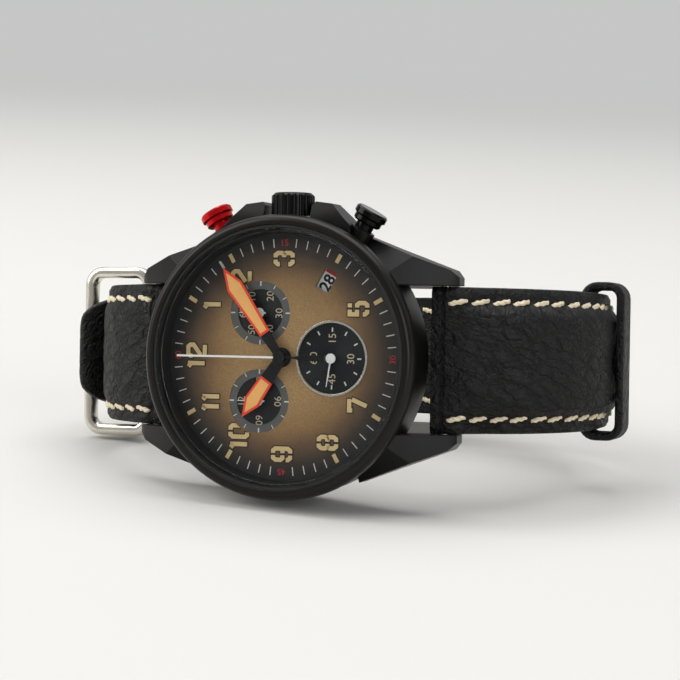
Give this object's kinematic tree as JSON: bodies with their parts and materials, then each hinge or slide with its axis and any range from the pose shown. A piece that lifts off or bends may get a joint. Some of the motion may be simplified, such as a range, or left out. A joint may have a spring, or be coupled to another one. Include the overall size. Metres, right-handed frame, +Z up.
{
  "type": "pilot chronograph watch",
  "caption": "Pilot's chronograph with a black coated case, bronze dial, red start pusher and padded black leather strap closed in a loop, with steel ring and leather keepers.",
  "frame": {"origin": "on the table, at the middle of the bounding box's footprint", "axes": "+Z up from the table the watch lies on, on its 9 o'clock side; -Y is where the dial looks, leaning back; +X runs from 12 o'clock to 6 o'clock; the crown points up"},
  "size_m": [0.0936, 0.0628, 0.0467],
  "materials": {
    "case_black": "satin black vapour coating on steel",
    "steel_satin": "brushed",
    "steel_polished": "polished",
    "crystal_clear": "polished, coated against glare",
    "seal": "matt",
    "red_anodised": "satin anodised",
    "black_gloss": "glossy black",
    "dial_bronze": "grained, fading to black at the rim",
    "dial_black": "fine grained black",
    "ring_grey": "matt grey with printed ticks",
    "lume_sand": "matt luminous paint",
    "needle_white": "matt white",
    "disc_white": "matt white",
    "works_brass": "satin",
    "works_steel": "satin",
    "board_green": "solder mask",
    "coil_copper": "enamelled wire",
    "holder_plastic": "moulded",
    "leather_black": "pebbled, padded, with cream stitching"
  },
  "bodies": {
    "case": {"case_middle": "case_black", "bezel": "case_black", "crystal": "crystal_clear", "crystal_gasket": "seal", "rehaut_ring": "dial_black", "case_back": "steel_satin", "case_back_gasket": "seal", "crown_tube": "works_steel", "crown_gasket": "seal", "start_pusher_tube": "case_black", "start_pusher_spring": "works_steel", "reset_pusher_tube": "case_black", "reset_pusher_spring": "works_steel", "dial": "dial_bronze", "minute_counter_plate": "dial_black", "hour_counter_plate": "dial_black", "small_seconds_plate": "dial_black", "minute_counter_ring": "ring_grey", "hour_counter_ring": "ring_grey", "small_seconds_ring": "steel_polished", "main_plate": "works_brass", "movement_holder": "holder_plastic", "circuit_board": "board_green", "battery": "steel_satin", "battery_clamp": "works_steel", "drive_coils": "coil_copper", "train_bridge": "works_brass", "movement_screws": "works_steel", "strap_half_12": "leather_black", "strap_half_6": "leather_black", "lug_spring_bars": "works_steel", "buckle_spring_bar": "works_steel", "buckle_frame": "steel_polished", "fixed_keeper": "leather_black"},
    "crown_pull": {"setting_lever": "works_steel"},
    "crown": {"crown": "case_black", "winding_stem": "works_steel"},
    "start_pusher": {"start_pusher": "red_anodised", "start_pusher_clip": "works_steel"},
    "reset_pusher": {"reset_pusher": "black_gloss", "reset_pusher_clip": "works_steel"},
    "minute": {"minute_hand": "lume_sand", "cannon_pinion": "works_steel"},
    "hour": {"hour_hand": "lume_sand", "hour_wheel": "works_brass"},
    "chrono_seconds": {"chrono_seconds_hand": "needle_white", "chrono_arbor": "works_steel"},
    "minute_counter": {"minute_counter_hand": "needle_white", "minute_counter_arbor": "works_steel"},
    "hour_counter": {"hour_counter_hand": "needle_white", "hour_counter_arbor": "works_steel"},
    "small_seconds": {"small_seconds_hand": "needle_white", "small_seconds_arbor": "works_steel"},
    "date": {"date_disc": "disc_white"},
    "step_rotor": {"step_rotor": "works_steel"},
    "buckle_tongue": {"buckle_tongue": "steel_polished"},
    "steel_ring": {"steel_ring": "steel_polished"},
    "loose_keeper": {"loose_keeper": "leather_black"}
  },
  "joints": [
    {"name": "crown_pull_out", "type": "slide", "parent": "case", "child": "crown_pull", "axis": [-0.072, 0.1678, 0.9832], "range_m": [0, 0.0016]},
    {"name": "crown_turn", "type": "hinge", "parent": "crown_pull", "child": "crown", "pos_m": [-0.00166, -0.01743, 0.0433], "axis": [-0.072, 0.1678, 0.9832], "continuous": true},
    {"name": "start_press", "type": "slide", "parent": "case", "child": "start_pusher", "axis": [-0.561, 0.1393, 0.816], "range_m": [-0.0008, 0], "stiffness_N_per_m": 400, "springref_m": 0.0004},
    {"name": "reset_press", "type": "slide", "parent": "case", "child": "reset_pusher", "axis": [0.4364, 0.1514, 0.8869], "range_m": [-0.0008, 0], "stiffness_N_per_m": 400, "springref_m": 0.0004},
    {"name": "minute_turn", "type": "hinge", "parent": "case", "child": "minute", "pos_m": [-0.00008, -0.02541, 0.0224], "axis": [0, 0.9857, -0.1683], "continuous": true},
    {"name": "hour_turn", "type": "hinge", "parent": "case", "child": "hour", "pos_m": [-0.00008, -0.02492, 0.02232], "axis": [0, 0.9857, -0.1683], "continuous": true},
    {"name": "chrono_seconds_turn", "type": "hinge", "parent": "case", "child": "chrono_seconds", "pos_m": [-0.00008, -0.0259, 0.02249], "axis": [0, 0.9857, -0.1683], "continuous": true},
    {"name": "minute_counter_turn", "type": "hinge", "parent": "case", "child": "minute_counter", "pos_m": [-0.0044, -0.02348, 0.02854], "axis": [0, 0.9857, -0.1683], "continuous": true},
    {"name": "hour_counter_turn", "type": "hinge", "parent": "case", "child": "hour_counter", "pos_m": [-0.00344, -0.02572, 0.01543], "axis": [0, 0.9857, -0.1683], "continuous": true},
    {"name": "small_seconds_turn", "type": "hinge", "parent": "case", "child": "small_seconds", "pos_m": [0.0076, -0.02446, 0.0228], "axis": [0, 0.9857, -0.1683], "continuous": true},
    {"name": "date_turn", "type": "hinge", "parent": "case", "child": "date", "pos_m": [-0.00008, -0.02329, 0.02204], "axis": [0, 0.9857, -0.1683], "continuous": true},
    {"name": "step_rotor_turn", "type": "hinge", "parent": "case", "child": "step_rotor", "pos_m": [-0.00008, -0.02142, 0.02172], "axis": [0, 0.9857, -0.1683], "continuous": true},
    {"name": "buckle_tongue_lift", "type": "hinge", "parent": "case", "child": "buckle_tongue", "pos_m": [-0.00108, 0.02372, 0.01394], "axis": [-0.072, 0.1678, 0.9832], "range_deg": [0, 2.5]},
    {"name": "steel_ring_slide", "type": "slide", "parent": "case", "child": "steel_ring", "axis": [0, -0.9857, 0.1683], "range_m": [-0.001, 0.001]},
    {"name": "loose_keeper_slide", "type": "slide", "parent": "case", "child": "loose_keeper", "axis": [0, -0.9857, 0.1683], "range_m": [-0.001, 0.001]}
  ],
  "couplings": [
    {"joint": "hour_turn", "follows": "minute_turn", "ratio": 0.083333},
    {"joint": "minute_counter_turn", "follows": "chrono_seconds_turn", "ratio": 0.016667},
    {"joint": "hour_counter_turn", "follows": "chrono_seconds_turn", "ratio": 0.0013889},
    {"joint": "step_rotor_turn", "follows": "small_seconds_turn", "ratio": 30}
  ]
}
